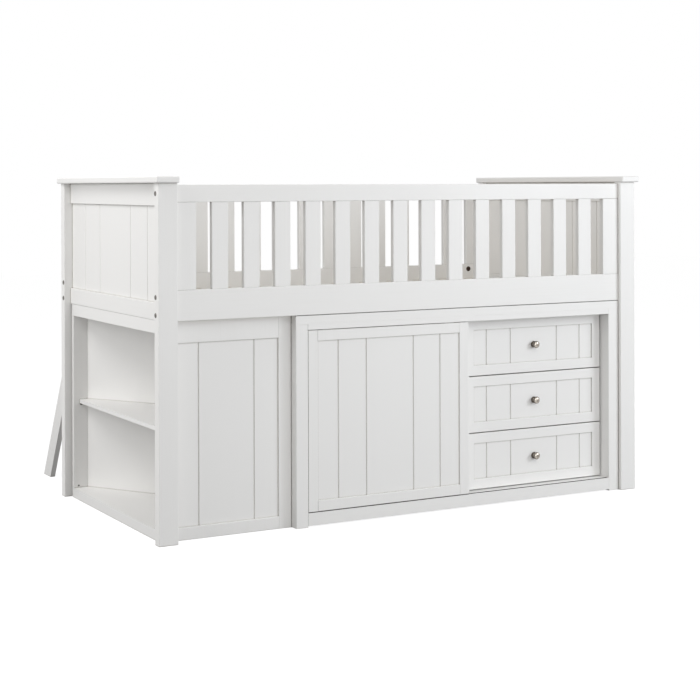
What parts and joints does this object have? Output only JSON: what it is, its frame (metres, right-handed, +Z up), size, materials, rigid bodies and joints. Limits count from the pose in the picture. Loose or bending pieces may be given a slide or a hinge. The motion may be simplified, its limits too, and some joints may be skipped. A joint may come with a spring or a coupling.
{
  "type": "low loft bed",
  "caption": "White low loft bed with slatted guards, a hook-on ladder, a corner bookcase, and a cabinet with a sliding door beside a stack of drawers.",
  "frame": {"origin": "on the floor, in the middle of the box around the bed and its ladder", "axes": "+X along the bed, away from the bookcase; +Y from the cabinet's face to the ladder; +Z up"},
  "size_m": [2.064, 1.5122, 1.25],
  "materials": {
    "satin_white": "satin white paint",
    "white_foil": "matte white foil on board",
    "bare_pine": "planed bare pine",
    "dark_steel": "dark satin",
    "brushed_steel": "brushed",
    "hook_steel": "white powder coat",
    "white_plastic": "matte"
  },
  "bodies": {
    "bed": {"post_front_left": "satin_white", "post_front_right": "satin_white", "post_rear_left": "satin_white", "post_rear_right": "satin_white", "end_left_cap": "satin_white", "end_left_top_rail": "satin_white", "end_left_bottom_rail": "satin_white", "end_left_panel": "satin_white", "end_right_cap": "satin_white", "end_right_top_rail": "satin_white", "end_right_bottom_rail": "satin_white", "end_right_panel": "satin_white", "front_side_rail": "satin_white", "front_top_rail": "satin_white", "front_guard_stiles": "satin_white", "front_guard_slats": "satin_white", "rear_side_rail": "satin_white", "rear_top_rail": "satin_white", "rear_guard_stiles": "satin_white", "rear_guard_slats": "satin_white", "slat_ledges": "bare_pine", "mattress_slats": "bare_pine", "rail_bolts": "dark_steel", "barrel_nuts": "dark_steel", "bookcase_bottom": "satin_white", "bookcase_top": "satin_white", "bookcase_back": "satin_white", "bookcase_rear_side": "satin_white", "bookcase_inner_side": "satin_white", "bookcase_shelf": "satin_white", "bookcase_front_frame": "satin_white", "bookcase_front_panel": "satin_white", "cabinet_stiles": "satin_white", "cabinet_top": "satin_white", "cabinet_top_rail": "satin_white", "cabinet_bottom_rail": "satin_white", "door_tracks": "dark_steel", "cabinet_sides": "white_foil", "cabinet_bottom": "white_foil", "cabinet_divider": "white_foil", "cabinet_back": "white_foil", "drawer_runners": "bare_pine"},
    "door": {"door_frame": "satin_white", "door_panel": "satin_white", "door_glides": "white_plastic"},
    "drawer_low": {"drawer_low_front": "satin_white", "drawer_low_box": "white_foil", "drawer_low_bottom": "white_foil", "drawer_low_knob": "brushed_steel"},
    "drawer_middle": {"drawer_middle_front": "satin_white", "drawer_middle_box": "white_foil", "drawer_middle_bottom": "white_foil", "drawer_middle_knob": "brushed_steel"},
    "drawer_high": {"drawer_high_front": "satin_white", "drawer_high_box": "white_foil", "drawer_high_bottom": "white_foil", "drawer_high_knob": "brushed_steel"},
    "ladder": {"ladder_stiles": "satin_white", "ladder_treads": "satin_white", "ladder_hooks": "hook_steel"}
  },
  "joints": [
    {"name": "drawer_low_slide", "type": "slide", "parent": "bed", "child": "drawer_low", "axis": [0, -1, 0], "range_m": [0, 0.3]},
    {"name": "drawer_middle_slide", "type": "slide", "parent": "bed", "child": "drawer_middle", "axis": [0, -1, 0], "range_m": [0, 0.3]},
    {"name": "drawer_high_slide", "type": "slide", "parent": "bed", "child": "drawer_high", "axis": [0, -1, 0], "range_m": [0, 0.3]},
    {"name": "door_slide", "type": "slide", "parent": "bed", "child": "door", "axis": [-1, 0, 0], "range_m": [-0.663, 0]},
    {"name": "ladder_lift", "type": "slide", "parent": "bed", "child": "ladder", "axis": [0, 0, 1], "range_m": [0, 0.06]}
  ]
}
